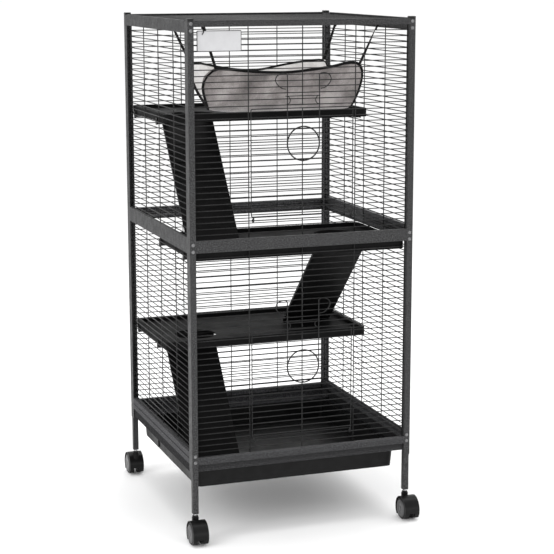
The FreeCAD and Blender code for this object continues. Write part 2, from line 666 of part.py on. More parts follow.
# ------------------------------------------------------------------- ramps
for rname, zkey, turn, angle in (("top", "deck_top_z", 1, "ramp_a_angle"),
                                 ("middle", "deck_mid_z", -1, "ramp_b_angle"),
                                 ("low", "deck_low_z", 1, "ramp_c_angle")):
    board = span("-ramp_width/2", "ramp_width/2", "3", "ramp_length",
                 "-ramp_gauge/2-0.5", "ramp_gauge/2-0.5")
    barrel = cyl("ramp_barrel", "ramp_width-8", "-ramp_width/2+4", "0", "0", "x")
    ribs = []
    for i in range(12):
        ribs.append(span("-ramp_width/2+6", "ramp_width/2-6",
                         "%d*ramp_rib_pitch+26" % i,
                         "%d*ramp_rib_pitch+26+ramp_rib_width" % i,
                         "ramp_gauge/2-1", "ramp_gauge/2-0.5+ramp_rib_rise"))
    bore = cyl("ramp_bore", "ramp_width+4", "-ramp_width/2-2", "0", "0", "x")
    ramp = cut(fuse([board, barrel] + ribs), bore)
    turn_z = FreeCAD.Rotation(V(0, 0, 1), 180 if turn > 0 else 0)
    ramp.Placement = FreeCAD.Placement(
        V(0, 0, 0), turn_z * FreeCAD.Rotation(V(1, 0, 0), -P[angle]))
    put(ramp, "%sramp_x" % ("-" if turn > 0 else ""),
        "%sramp_axis_y" % ("" if turn > 0 else "-"), zkey + "+ramp_axis_drop")
    node(ramp, "ramp_" + rname)

# -------------------------------------------------------------------- tray
def rounded(hw, y0, y1, r, z):
    p = [V(-hw + r, y0, z), V(hw - r, y0, z), V(hw, y0 + r, z), V(hw, y1 - r, z),
         V(hw - r, y1, z), V(-hw + r, y1, z), V(-hw, y1 - r, z), V(-hw, y0 + r, z)]
    s = r * (1 - math.sqrt(0.5))
    mids = [V(hw - s, y0 + s, z), V(hw - s, y1 - s, z), V(-hw + s, y1 - s, z),
            V(-hw + s, y0 + s, z)]
    edges = []
    for i in range(4):
        edges.append(Part.makeLine(p[2 * i], p[2 * i + 1]))
        edges.append(Part.Arc(p[2 * i + 1], mids[i], p[(2 * i + 2) % 8]).toShape())
    return Part.Wire(edges)


tw, tt = P["tray_wall"], P["tray_taper"]
rim_top = P["tray_rim_low"] + P["tray_rim"]
shell = Part.makeLoft([
    rounded(P["tray_low_half"], -P["tray_front"] + tt, P["tray_back"] - tt,
            P["tray_round"], P["tray_low"]),
    rounded(P["tray_top_half"], -P["tray_front"], P["tray_back"],
            P["tray_round"], rim_top)], True, True)
void = Part.makeLoft([
    rounded(P["tray_low_half"] - tw, -P["tray_front"] + tt + tw, P["tray_back"] - tt - tw,
            P["tray_round"] - tw, P["tray_low"] + tw),
    rounded(P["tray_top_half"] - tw, -P["tray_front"] + tw, P["tray_back"] - tw,
            P["tray_round"] - tw, rim_top + 0.5)], True, True)
rim = Part.Face(rounded(P["tray_rim_half"], -P["tray_front"] - P["tray_rim_out"],
                        P["tray_back"] + P["tray_rim_out"], P["tray_round"],
                        P["tray_rim_low"])).extrude(V(0, 0, P["tray_rim"]))
ribs = []
for sx in (-1, 1):
    # upright rib on the outside of each side wall
    r = Part.makeBox(5.2, 6, P["tray_rim_low"] - P["tray_low"] - 12)
    r.translate(V(244.0 if sx > 0 else -249.2, 96, P["tray_low"] + 5))
    ribs.append(r)
raw(shell.fuse([rim] + ribs).cut(void).removeSplitter(), "tray")

# ----------------------------------------------------------------- hammock
mid_y = (P["sling_back"] - P["sling_front"]) / 2.0
half_y = (P["sling_back"] + P["sling_front"]) / 2.0
drop = P["sling_edge"] - P["sling_bottom"]


def sling_curve(extra):
    pts = []
    for i in range(13):
        u = -1 + i / 6.0
        yy = mid_y + half_y * u
        zz = P["sling_bottom"] + drop * abs(u) ** 2.2
        slope = 2.2 * drop * abs(u) ** 1.2 * (1 if u > 0 else -1) / half_y
        n = math.hypot(1.0, slope)
        pts.append(V(-P["sling_half"], yy + extra * slope / n, zz - extra / n))
    curve = Part.BSplineCurve()
    curve.interpolate(pts)
    return curve.toShape(), pts


c_in, p_in = sling_curve(-P["sling_gauge"])
c_out, p_out = sling_curve(0.0)
outline = Part.Wire([c_in, Part.makeLine(p_in[-1], p_out[-1]), c_out,
                     Part.makeLine(p_out[0], p_in[0])])
raw(Part.Face(outline).extrude(V(2 * P["sling_half"], 0, 0)), "hammock")

straps, rings = [], []
for sx in (-1, 1):
    for low_y, high_y in ((-P["sling_front"], -P["hook_front"]),
                          (P["sling_back"], P["hook_back"])):
        a = V(sx * (P["sling_half"] - 4.0), low_y, P["sling_edge"] + 2.5)
        b = V(sx * P["hook_x"], high_y, P["hook_z"] - P["hook_ring"] - P["hook_wire"] - 0.6)
        d = b - a
        s = Part.makeBox(P["strap_gauge"], P["strap_width"], d.Length,
                         V(-P["strap_gauge"] / 2, -P["strap_width"] / 2, 0))
        s.Placement = FreeCAD.Placement(a, FreeCAD.Rotation(V(0, 0, 1), d)).multiply(s.Placement)
        straps.append(s)
        rings.append(Part.makeTorus(P["hook_ring"], P["hook_wire"],
                                    V(sx * P["hook_x"], high_y, P["hook_z"]), V(1, 0, 0)))
raw(Part.makeCompound(straps), "hammock_straps")
raw(Part.makeCompound(rings), "hammock_hooks")


# ------------------------------------------------------------------ casters
stems = []
post_x = P["half_width"] - P["sheet_gauge"] - P["tube_side"] / 2.0
post_y = P["half_depth"] - P["sheet_gauge"] - P["tube_side"] / 2.0
for cname, sx, sy in CORNERS:
    cx = "%s(half_width-sheet_gauge-tube_side/2)" % ("" if sx > 0 else "-")
    cy = "%s(half_depth-sheet_gauge-tube_side/2)" % ("" if sy > 0 else "-")
    ay = "%s+(%d)*caster_trail" % (cy, sy)
    drum = cyl("hood_radius", "2*hood_half", cx + "-hood_half", ay, "wheel_radius", "x")
    boss = cyl("collar_radius+1", "boss_top-40", cx, cy, "40")
    body = fuse([drum, boss])
    cuts = [
        cyl("hood_clear", "hood_half-web_half+2", cx + "+web_half", ay, "wheel_radius", "x"),
        cyl("hood_clear", "hood_half-web_half+2", cx + "-hood_half-2", ay, "wheel_radius", "x"),
        cyl("axle_bore", "2*hood_half+4", cx + "-hood_half-2", ay, "wheel_radius", "x"),
        cyl("stem_bore", "boss_top-boss_low+1", cx, cy, "boss_low"),
        span(cx + "-hood_half-1", cx + "+hood_half+1",
             ay + "-hood_radius-1", ay + "+hood_radius+1", "-10", "hood_cut"),
        # arch between the wheels
        span(cx + "-arch_half", cx + "+arch_half",
             ay + "-hood_radius-1", ay + "+hood_radius+1", "-10", "arch_top"),
    ]
    node(cut(body, fuse(cuts)), "caster_hood_" + cname)

    shapes = []
    for s in (-1, 1):
        lo, hi = P["wheel_inner"], P["wheel_outer"]
        r = P["wheel_radius"]
        pts = [V(lo, 0, 0), V(lo, r - 1.5, 0), V(lo + 1.5, r, 0), V(hi - 4.0, r, 0),
               V(hi - 1.0, r - 2.5, 0), V(hi - 1.0, r - 5.5, 0), V(hi, r - 6.0, 0),
               V(hi, 0, 0), V(lo, 0, 0)]
        prof = Part.Face(Part.makePolygon(pts))
        wheel = prof.revolve(V(0, 0, 0), V(1, 0, 0), 360)
        if s < 0:
            wheel = wheel.mirror(V(0, 0, 0), V(1, 0, 0))
        shapes.append(wheel)
    axle = Part.makeCylinder(P["axle_radius"], 2 * P["wheel_inner"] + 2.0,
                             V(-P["wheel_inner"] - 1.0, 0, 0), V(1, 0, 0))
    pair = shapes[0].fuse([shapes[1], axle]).removeSplitter()
    o = doc.addObject("Part::Feature", "caster_wheels_" + cname)
    o.Shape = pair
    put(o, cx, ay, "wheel_radius")
    node(o, "caster_wheels_" + cname)

    stem = Part.makeCylinder(P["stem_radius"], 95.0 - P["boss_low"] - 0.4,
                             V(0, 0, P["boss_low"] + 0.4))
    collar = Part.makeCylinder(P["collar_radius"], P["leg_bottom"] - P["boss_top"] - 0.4,
                               V(0, 0, P["boss_top"] + 0.4))
    one = stem.fuse(collar).removeSplitter()
    one.translate(V(sx * post_x, sy * post_y, 0))
    stems.append(one)
raw(Part.makeCompound(stems), "caster_stems")

# ------------------------------------------------------------ check and write
doc.recompute()
for o in doc.Objects:
    if "Invalid" in o.State or "Error" in o.State:
        raise RuntimeError("object in error: %s %s" % (o.Label, o.State))
os.makedirs("parts", exist_ok=True)
for name, o in NODES:
    if o.Shape.isNull() or not o.Shape.isValid():
        raise RuntimeError("bad shape: " + name)
    o.Shape.exportStep("parts/%s.step" % name)
    bb = o.Shape.BoundBox
    print("%-28s solids %3d vol %10.0f  x %.1f..%.1f y %.1f..%.1f z %.1f..%.1f" % (
        name, len(o.Shape.Solids), o.Shape.Volume,
        bb.XMin, bb.XMax, bb.YMin, bb.YMax, bb.ZMin, bb.ZMax))
print("nodes", len(NODES))
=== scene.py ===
import math

import bmesh
import bpy
import numpy as np
from mathutils import Matrix, Quaternion, Vector, noise


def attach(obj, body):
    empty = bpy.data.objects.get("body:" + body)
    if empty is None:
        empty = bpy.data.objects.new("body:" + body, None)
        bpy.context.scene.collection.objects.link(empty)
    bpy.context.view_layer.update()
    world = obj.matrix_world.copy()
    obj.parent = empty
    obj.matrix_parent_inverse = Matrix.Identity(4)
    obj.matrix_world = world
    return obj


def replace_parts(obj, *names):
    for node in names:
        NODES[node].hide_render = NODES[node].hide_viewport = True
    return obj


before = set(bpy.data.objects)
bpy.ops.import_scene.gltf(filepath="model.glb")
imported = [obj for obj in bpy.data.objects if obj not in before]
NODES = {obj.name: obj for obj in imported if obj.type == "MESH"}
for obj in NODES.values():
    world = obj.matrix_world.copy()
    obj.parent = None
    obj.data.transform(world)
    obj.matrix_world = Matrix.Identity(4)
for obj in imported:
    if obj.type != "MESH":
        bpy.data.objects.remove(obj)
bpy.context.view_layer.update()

scene = bpy.context.scene
MM = 0.001


# ---------------------------------------------------------------- materials
def new_mat(name):
    m = bpy.data.materials.new(name)
    m.use_nodes = True
    nt = m.node_tree
    nt.nodes.clear()
    out = nt.nodes.new("ShaderNodeOutputMaterial")
    bsdf = nt.nodes.new("ShaderNodeBsdfPrincipled")
    nt.links.new(bsdf.outputs["BSDF"], out.inputs["Surface"])
    coord = nt.nodes.new("ShaderNodeTexCoord")
    return m, nt, bsdf, coord.outputs["Object"]


def noise_tex(nt, vec, scale, detail=3.0, rough=0.5, stretch=None):
    src = vec
    if stretch is not None:
        mp = nt.nodes.new("ShaderNodeMapping")
        mp.inputs["Scale"].default_value = stretch
        nt.links.new(vec, mp.inputs["Vector"])
        src = mp.outputs["Vector"]
    n = nt.nodes.new("ShaderNodeTexNoise")
    n.inputs["Scale"].default_value = scale
    n.inputs["Detail"].default_value = detail
    n.inputs["Roughness"].default_value = rough
    nt.links.new(src, n.inputs["Vector"])
    return n.outputs["Fac"]


def ramp(nt, fac, stops):
    r = nt.nodes.new("ShaderNodeValToRGB")
    els = r.color_ramp.elements
    while len(els) < len(stops):
        els.new(0.5)
    for e, (p, c) in zip(els, stops):
        e.position = p
        e.color = (c[0], c[1], c[2], 1.0)
    nt.links.new(fac, r.inputs["Fac"])
    return r.outputs["Color"]


def spread(nt, fac, lo, hi, flo=0.3, fhi=0.7):
    m = nt.nodes.new("ShaderNodeMapRange")
    m.inputs["From Min"].default_value = flo
    m.inputs["From Max"].default_value = fhi
    m.inputs["To Min"].default_value = lo
    m.inputs["To Max"].default_value = hi
    nt.links.new(fac, m.inputs["Value"])
    return m.outputs["Result"]


def bump(nt, bsdf, height, strength, distance, base=None):
    b = nt.nodes.new("ShaderNodeBump")
    b.inputs["Strength"].default_value = strength
    b.inputs["Distance"].default_value = distance
    nt.links.new(height, b.inputs["Height"])
    if base is not None:
        nt.links.new(base, b.inputs["Normal"])
    nt.links.new(b.outputs["Normal"], bsdf.inputs["Normal"])
    return b.outputs["Normal"]


def g(v):
    return (v, v, v * 1.02)


def hammertone(name, lo, mid, hi, spec=0.08, bands=()):
    m, nt, b, vec = new_mat(name)
    fine = noise_tex(nt, vec, 420.0, 3.0, 0.6)
    col = ramp(nt, fine, [(0.34, g(lo)), (0.5, g(mid)), (0.66, g(hi))])
    for axis, stops in bands:
        # painted light and shade: recesses at the rail bends are drawn darker and faces inside the cage lighter, by
        # their place along one axis
        sep = nt.nodes.new("ShaderNodeSeparateXYZ")
        nt.links.new(vec, sep.inputs["Vector"])
        first, last = stops[0][0] - 0.01, stops[-1][0] + 0.01
        shade = ramp(nt, spread(nt, sep.outputs[axis], 0.0, 1.0, first, last),
                     [((at - first) / (last - first), g(k)) for at, k in stops])
        mix = nt.nodes.new("ShaderNodeMix")
        mix.data_type = "RGBA"
        mix.blend_type = "MULTIPLY"
        mix.inputs["Factor"].default_value = 1.0
        nt.links.new(col, mix.inputs[6])
        nt.links.new(shade, mix.inputs[7])
        col = mix.outputs[2]
    nt.links.new(col, b.inputs["Base Color"])
    v = nt.nodes.new("ShaderNodeTexVoronoi")
    v.feature = "SMOOTH_F1"
    v.inputs["Scale"].default_value = 300.0
    nt.links.new(vec, v.inputs["Vector"])
    nt.links.new(spread(nt, noise_tex(nt, vec, 60.0), 0.34, 0.52), b.inputs["Roughness"])
    bump(nt, b, v.outputs["Distance"], 0.45, 0.0007)
    b.inputs["Metallic"].default_value = 0.04
    b.inputs["Specular IOR Level"].default_value = spec
    return m


def coated_wire(name, lo, hi):
    m, nt, b, vec = new_mat(name)
    n = noise_tex(nt, vec, 420.0, 3.0, 0.6)
    nt.links.new(ramp(nt, n, [(0.35, g(lo)), (0.65, g(hi))]), b.inputs["Base Color"])
    nt.links.new(spread(nt, noise_tex(nt, vec, 90.0), 0.4, 0.56), b.inputs["Roughness"])
    bump(nt, b, n, 0.15, 0.0003)
    b.inputs["Specular IOR Level"].default_value = 0.25
    return m


def moulded(name, lo, hi, r0, r1, grain=900.0, strength=0.12, coat=0.0, spec=0.5):
    m, nt, b, vec = new_mat(name)
    n = noise_tex(nt, vec, 40.0, 4.0, 0.6)
    nt.links.new(ramp(nt, n, [(0.3, g(lo)), (0.7, g(hi))]), b.inputs["Base Color"])
    nt.links.new(spread(nt, noise_tex(nt, vec, 18.0, 3.0), r0, r1), b.inputs["Roughness"])
    bump(nt, b, noise_tex(nt, vec, grain, 2.0, 0.5), strength, 0.0003)
    b.inputs["Coat Weight"].default_value = coat
    b.inputs["Coat Roughness"].default_value = 0.2
    b.inputs["Specular IOR Level"].default_value = spec
    return m


def plain_steel(name, lo, hi):
    m, nt, b, vec = new_mat(name)
    n = noise_tex(nt, vec, 500.0, 3.0, 0.6)
    nt.links.new(ramp(nt, n, [(0.3, g(lo)), (0.7, g(hi))]), b.inputs["Base Color"])
    nt.links.new(spread(nt, noise_tex(nt, vec, 120.0), 0.18, 0.34), b.inputs["Roughness"])
    b.inputs["Metallic"].default_value = 1.0
    return m


def plush(name, dark, mid, light):
    m, nt, b, vec = new_mat(name)
    pile = noise_tex(nt, vec, 620.0, 4.0, 0.7)
    # broad stretched noise for the plush nap and painted fold shade: its lighter and darker bands in the colour stand
    # for light and shade on the soft folds; it also drives the bump
    nap_and_fold_shade = noise_tex(nt, vec, 17.0, 3.0, 0.55, (1.0, 1.2, 0.4))
    mix = nt.nodes.new("ShaderNodeMix")
    mix.data_type = "FLOAT"
    mix.inputs["Factor"].default_value = 0.6
    nt.links.new(pile, mix.inputs[2])
    nt.links.new(nap_and_fold_shade, mix.inputs[3])
    nt.links.new(ramp(nt, mix.outputs[0], [(0.38, dark), (0.5, mid), (0.61, light)]),
                 b.inputs["Base Color"])
    b.inputs["Roughness"].default_value = 0.9
    b.inputs["Sheen Weight"].default_value = 0.35
    b.inputs["Sheen Roughness"].default_value = 0.5
    first = bump(nt, b, nap_and_fold_shade, 0.5, 0.004)
    bump(nt, b, pile, 0.6, 0.0012, first)
    return m


def webbing(name, lo, hi):
    m, nt, b, vec = new_mat(name)
    w = nt.nodes.new("ShaderNodeTexWave")
    w.wave_type = "BANDS"
    w.bands_direction = "Z"
    w.inputs["Scale"].default_value = 260.0
    w.inputs["Distortion"].default_value = 1.2
    nt.links.new(vec, w.inputs["Vector"])
    nt.links.new(ramp(nt, w.outputs["Fac"], [(0.2, g(lo)), (0.8, g(hi))]), b.inputs["Base Color"])
    b.inputs["Roughness"].default_value = 0.85
    b.inputs["Specular IOR Level"].default_value = 0.15
    bump(nt, b, w.outputs["Fac"], 0.4, 0.0006)
    return m


M_FRAME = hammertone("frame_hammertone", 0.016, 0.038, 0.076)
# side rails: the frame coat with weaker specular, so their lit left faces render dimmer (painted shade)
M_SIDE = hammertone("side_hammertone", 0.016, 0.038, 0.076, 0.045)
# painted shade by height on the base rails: the recessed lower band and the grooves are drawn darker, the lip and
# upper strips lighter
FRONT_SHADE_BANDS = [(0.1705, 0.64), (0.1730, 0.49), (0.1829, 0.40), (0.1841, 0.79), (0.1955, 0.79), (0.1985, 0.98)]
SIDE_SHADE_BANDS = [(0.1820, 0.36), (0.1836, 0.98), (0.1935, 0.98), (0.1950, 0.70), (0.1975, 0.70), (0.1995, 0.98)]
# base rails: lighter copies of the frame coat, multiplied by the painted shade bands above
M_BASE = hammertone("base_hammertone", 0.019, 0.046, 0.091, 0.08, [("Z", FRONT_SHADE_BANDS)])
M_BASE_SIDE = hammertone("base_side_hammertone", 0.030, 0.067, 0.126, 0.0, [("Z", SIDE_SHADE_BANDS)])
# painted light: lighter copies of the frame coat for the back and right pieces seen through the cage; on the rails the
# faces turned into the cage are drawn brighter than the outer faces, and the inner post is drawn darker below about
# 0.2 m
M_BACK = hammertone("back_hammertone", 0.042, 0.100, 0.200, 0.08, [("Y", [(0.2751, 0.98), (0.2757, 0.38)])])
M_RIGHT = hammertone("right_hammertone", 0.032, 0.075, 0.150, 0.06, [("X", [(0.2701, 0.98), (0.2707, 0.50)])])
M_POST_IN = hammertone("inner_post_hammertone", 0.040, 0.095, 0.190, 0.08, [("Z", [(0.19, 0.40), (0.21, 0.98)])])
M_BASE_BACK = hammertone("base_back_hammertone", 0.037, 0.090, 0.177, 0.08,
                         [("Z", FRONT_SHADE_BANDS), ("Y", [(0.2751, 0.98), (0.2757, 0.51)])])
M_WIRE = coated_wire("wire_coat", 0.005, 0.013)
M_LATCH = coated_wire("latch_coat", 0.004, 0.010)
M_BOLT = coated_wire("bolt_zinc", 0.10, 0.2)
M_STEEL = plain_steel("plain_steel", 0.45, 0.68)
M_DECK = moulded("deck_plastic", 0.0045, 0.008, 0.52, 0.66, spec=0.06)
M_RAMP = moulded("ramp_plastic", 0.003, 0.0055, 0.4, 0.55, 700.0, 0.2, spec=0.10)
M_TRAY = moulded("tray_plastic", 0.005, 0.0085, 0.34, 0.5, spec=0.12)
M_CAP = moulded("cap_plastic", 0.004, 0.008, 0.4, 0.55, spec=0.25)
M_HOOD = moulded("hood_plastic", 0.0035, 0.006, 0.3, 0.42, spec=0.15)
M_WHEEL = moulded("wheel_rubber", 0.010, 0.018, 0.5, 0.65, 500.0, 0.25, spec=0.25)
M_DISC = moulded("wheel_disc", 0.045, 0.066, 0.35, 0.48, 600.0, 0.15)
M_PLATE = moulded("plate_face", 0.47, 0.52, 0.35, 0.48, 500.0, 0.05, spec=0.3)
# painted shade: the dark backing colour stands for the shaded edge thickness of the plate
M_PLATE_EDGE_SHADE = moulded("plate_edge_shade", 0.05, 0.08, 0.4, 0.5, 500.0, 0.05, spec=0.3)
M_PLUSH = plush("plush_outer", (0.105, 0.094, 0.091), (0.235, 0.212, 0.206), (0.43, 0.398, 0.388))
M_LINING = plush("plush_lining", (0.40, 0.385, 0.375), (0.54, 0.525, 0.515), (0.68, 0.67, 0.66))
M_PIPING = webbing("piping_cloth", 0.002, 0.006)
M_STRAP = webbing("strap_webbing", 0.002, 0.006)


# ------------------------------------------------------------- mesh helpers
def make(name, verts, faces, mats, body, smooth=True, mat_ids=None):
    me = bpy.data.meshes.new(name)
    me.from_pydata([tuple(v) for v in verts], [], [tuple(f) for f in faces])
    me.validate()
    for m in mats:
        me.materials.append(m)
    if mat_ids is not None:
        me.polygons.foreach_set("material_index", mat_ids)
    me.polygons.foreach_set("use_smooth", [smooth] * len(me.polygons))
    me.update()
    o = bpy.data.objects.new(name, me)
    scene.collection.objects.link(o)
    bm = bmesh.new()
    bm.from_mesh(me)
    bmesh.ops.recalc_face_normals(bm, faces=bm.faces)
    bm.to_mesh(me)
    bm.free()
    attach(o, body)
    return o


def sharp(o, angle=35.0):
    """Smooth shading that keeps edges steeper than the angle crisp."""
    me = o.data
    bm = bmesh.new()
    bm.from_mesh(me)
    lim = math.radians(angle)
    for e in bm.edges:
        if len(e.link_faces) == 2:
            e.smooth = e.calc_face_angle(0.0) < lim
    bm.to_mesh(me)
    bm.free()
    return o


class Soup:
    """Collects separate closed solids into one mesh."""

    def __init__(self):
        self.v, self.f, self.m = [], [], []

    def add(self, verts, faces, mat=0):
        n = len(self.v)
        self.v.extend(verts)
        self.f.extend([tuple(i + n for i in f) for f in faces])
        self.m.extend([mat] * len(faces))

    def rod(self, p, q, r, sides=8, mat=0):
        p, q = np.array(p, float), np.array(q, float)
        d = (q - p) / np.linalg.norm(q - p)
        a = np.cross(d, [0, 0, 1.0] if abs(d[2]) < 0.9 else [1.0, 0, 0])
        a /= np.linalg.norm(a)
        b = np.cross(d, a)
        ang = [2 * math.pi * (i + 0.5) / sides for i in range(sides)]
        e = min(r * 0.35, 0.25 * np.linalg.norm(q - p))
        rings = [(p, r * 0.62), (p + d * e, r), (q - d * e, r), (q, r * 0.62)]
        verts = [c + rad * (math.cos(t) * a + math.sin(t) * b) for c, rad in rings for t in ang]
        faces = [tuple(range(sides))[::-1]]
        for k in range(3):
            for i in range(sides):
                j = (i + 1) % sides
                faces.append((k * sides + i, k * sides + j, (k + 1) * sides + j, (k + 1) * sides + i))
        faces.append(tuple(range(3 * sides, 4 * sides)))
        self.add(verts, faces, mat)

    def tube(self, pts, r, sides=10, closed=False, mat=0):
        pts = [np.array(p, float) for p in pts]
        n = len(pts)
        tang = []
        for i in range(n):
            a = pts[(i - 1) % n] if closed or i > 0 else pts[i]
            b = pts[(i + 1) % n] if closed or i < n - 1 else pts[i]
            t = b - a
            tang.append(t / np.linalg.norm(t))
        up = np.cross(tang[0], [0, 0, 1.0] if abs(tang[0][2]) < 0.9 else [1.0, 0, 0])
        up /= np.linalg.norm(up)
        verts = []
        frames = []
        for i in range(n):
            up = up - tang[i] * np.dot(up, tang[i])
            up /= np.linalg.norm(up)
            frames.append((up.copy(), np.cross(tang[i], up)))
        rr = [r] * n if np.isscalar(r) else list(r)
        for i in range(n):
            u, w = frames[i]
            for k in range(sides):
                t = 2 * math.pi * k / sides
                verts.append(pts[i] + rr[i] * (math.cos(t) * u + math.sin(t) * w))
        faces = []
        last = n if closed else n - 1
        for i in range(last):
            j = (i + 1) % n
            shift = 0
            if closed and j == 0:
                # match the seam to the nearest turn of the section
                u0 = frames[0][0]
                u, w = frames[-1]
                shift = int(round(math.atan2(np.dot(u0, w), np.dot(u0, u)) / (2 * math.pi / sides)))
            for k in range(sides):
                k2 = (k + 1) % sides
                faces.append((i * sides + k, i * sides + k2,
                              j * sides + (k2 - shift) % sides, j * sides + (k - shift) % sides))
        if not closed:
            faces.append(tuple(range(sides))[::-1])
            faces.append(tuple(range((n - 1) * sides, n * sides)))
        self.add(verts, faces, mat)

    def lathe(self, prof, centre, axis, sides=40, mats=None):
        """Closed solid turned from (distance along axis, radius) points that start and end on the axis."""
        c = np.array(centre, float)
        d = np.array(axis, float)
        a = np.cross(d, [0, 0, 1.0] if abs(d[2]) < 0.9 else [1.0, 0, 0])
        a /= np.linalg.norm(a)
        b = np.cross(d, a)
        verts, idx = [], []
        for (x, r) in prof:
            if r < 1e-9:
                idx.append([len(verts)])
                verts.append(c + d * x)
            else:
                idx.append(list(range(len(verts), len(verts) + sides)))
                for k in range(sides):
                    t = 2 * math.pi * k / sides
                    verts.append(c + d * x + r * (math.cos(t) * a + math.sin(t) * b))
        n = len(self.v)
        self.v.extend(verts)
        for i in range(len(prof) - 1):
            p, q = idx[i], idx[i + 1]
            for k in range(sides):
                k2 = (k + 1) % sides
                if len(p) == 1 and len(q) == 1:
                    continue
                if len(p) == 1:
                    f = (p[0], q[k2], q[k])
                elif len(q) == 1:
                    f = (p[k], p[k2], q[0])
                else:
                    f = (p[k], p[k2], q[k2], q[k])
                self.f.append(tuple(x + n for x in f))
                self.m.append(mats[i] if mats else 0)

    def plate(self, w, h, t, rad, place, mat=0, seg=5, bevel=0.0):
        """Rounded plate, w by h by t, in the XZ plane, its front at -t, moved by place."""
        pts = []
        for cx, cz, a0 in ((w / 2 - rad, h / 2 - rad, 0), (-w / 2 + rad, h / 2 - rad, 90),
                           (-w / 2 + rad, -h / 2 + rad, 180), (w / 2 - rad, -h / 2 + rad, 270)):
            for i in range(seg + 1):
                a = math.radians(a0 + 90 * i / seg)
                pts.append((cx, cz, math.cos(a), math.sin(a), rad))
        rings = [(0.0, 0.0), (t - bevel, 0.0), (t, bevel)] if bevel else [(0.0, 0.0), (t, 0.0)]
        verts = []
        for y, inset in rings:
            for cx, cz, ca, sa, rr in pts:
                verts.append(np.array(place) + np.array([cx + (rr - inset) * ca, -y, cz + (rr - inset) * sa]))
        n = len(pts)
        faces = [tuple(range(n))]
        for k in range(len(rings) - 1):
            for i in range(n):
                j = (i + 1) % n
                faces.append((k * n + i, (k + 1) * n + i, (k + 1) * n + j, k * n + j))
        faces.append(tuple(range((len(rings) - 1) * n, len(rings) * n))[::-1])
        self.add(verts, faces, mat)

    def build(self, name, mats, body, smooth=True):
        return make(name, self.v, self.f, mats, body, smooth, self.m)


def catmull(pts, per=8, closed=False):
    pts = [np.array(p, float) for p in pts]
    n = len(pts)
    out = []
    last = n if closed else n - 1
    for i in range(last):
        p0 = pts[(i - 1) % n] if closed or i > 0 else 2 * pts[0] - pts[1]
        p1, p2 = pts[i], pts[(i + 1) % n]
        p3 = pts[(i + 2) % n] if closed or i < n - 2 else 2 * pts[-1] - pts[-2]
        for k in range(per):
            t = k / per
            out.append(0.5 * ((2 * p1) + (p2 - p0) * t + (2 * p0 - 5 * p1 + 4 * p2 - p3) * t * t
                              + (3 * p1 - p0 - 3 * p2 + p3) * t ** 3))
    if not closed:
        out.append(pts[-1])
    return out


# ----------------------------------------------------- carried frame pieces
def dress(prefixes, mat, bevel=0.0, segments=2):
    for n, o in NODES.items():
        if n.startswith(prefixes):
            o.data.materials.clear()
            o.data.materials.append(mat)
            if bevel:
                b = o.modifiers.new("soft_edges", "BEVEL")
                b.width = bevel
                b.segments = segments
                b.limit_method = "ANGLE"
                b.angle_limit = math.radians(40)
                b.harden_normals = False


dress(("corner_angle_front", "corner_angle_back_left", "corner_tube_front", "corner_tube_back_left",
       "top_rail_front", "top_rail_back", "mid_rail_front"), M_FRAME, 0.0004)
dress(("top_rail_left", "top_rail_right", "mid_rail_left"), M_SIDE, 0.0004)
dress(("mid_rail_back",), M_BACK, 0.0004)
dress(("mid_rail_right", "corner_angle_back_right"), M_RIGHT, 0.0004)
dress(("corner_tube_back_right",), M_POST_IN, 0.0004)
dress(("base_rail_front",), M_BASE, 0.0004)
dress(("base_rail_back",), M_BASE_BACK, 0.0004)
dress(("base_rail_left", "base_rail_right"), M_BASE_SIDE, 0.0004)

dress(("platform_top", "platform_middle", "platform_low"), M_DECK, 0.0012, 3)
dress(("ramp_top", "ramp_middle", "ramp_low"), M_RAMP, 0.0006)
dress(("ramp_hinge_rods", "hammock_hooks", "caster_stems"), M_STEEL)
dress(("tray",), M_TRAY, 0.0008)
dress(("post_caps", "platform_clips"), M_CAP)
dress(("frame_bolts",), M_BOLT)
dress(("caster_hood",), M_HOOD, 0.0007)
dress(("caster_wheels",), M_WHEEL)
dress(("wire_panel", "door_", "latch_", "name_plate_hook"), M_WIRE)
dress(("name_plate",), M_PLATE)
dress(("name_plate_hook",), M_LATCH)
dress(("hammock",), M_PLUSH)
dress(("hammock_hooks",), M_LATCH)

# -------------------------------------------------------------- wire panels
PITCH = 13.6
FRONT_Y, SIDE_X = 266.0, 262.5
IN_X, IN_Y = 256.8, 261.8
QX, QY = 128.5, 126.5
WR = 1.18
EX, EY = IN_X - 1.3, IN_Y - 1.3


def rows(low, high, ref):
    got = [low + 1.25]
    k = math.ceil((low + 5.0 - ref) / PITCH)
    while ref + k * PITCH < high - 5.0:
        got.append(ref + k * PITCH)
        k += 1
    got.append(high - 1.25)
    return got


UP_REF, LOW_REF = 741.0, 226.0
UP = rows(691.0, 1180.0, UP_REF)
LOW = rows(186.0, 688.0, LOW_REF)
SIDE_LOW = rows(211.0, 688.0, LOW_REF)


def mm(*p):
    return [c * MM for c in p]


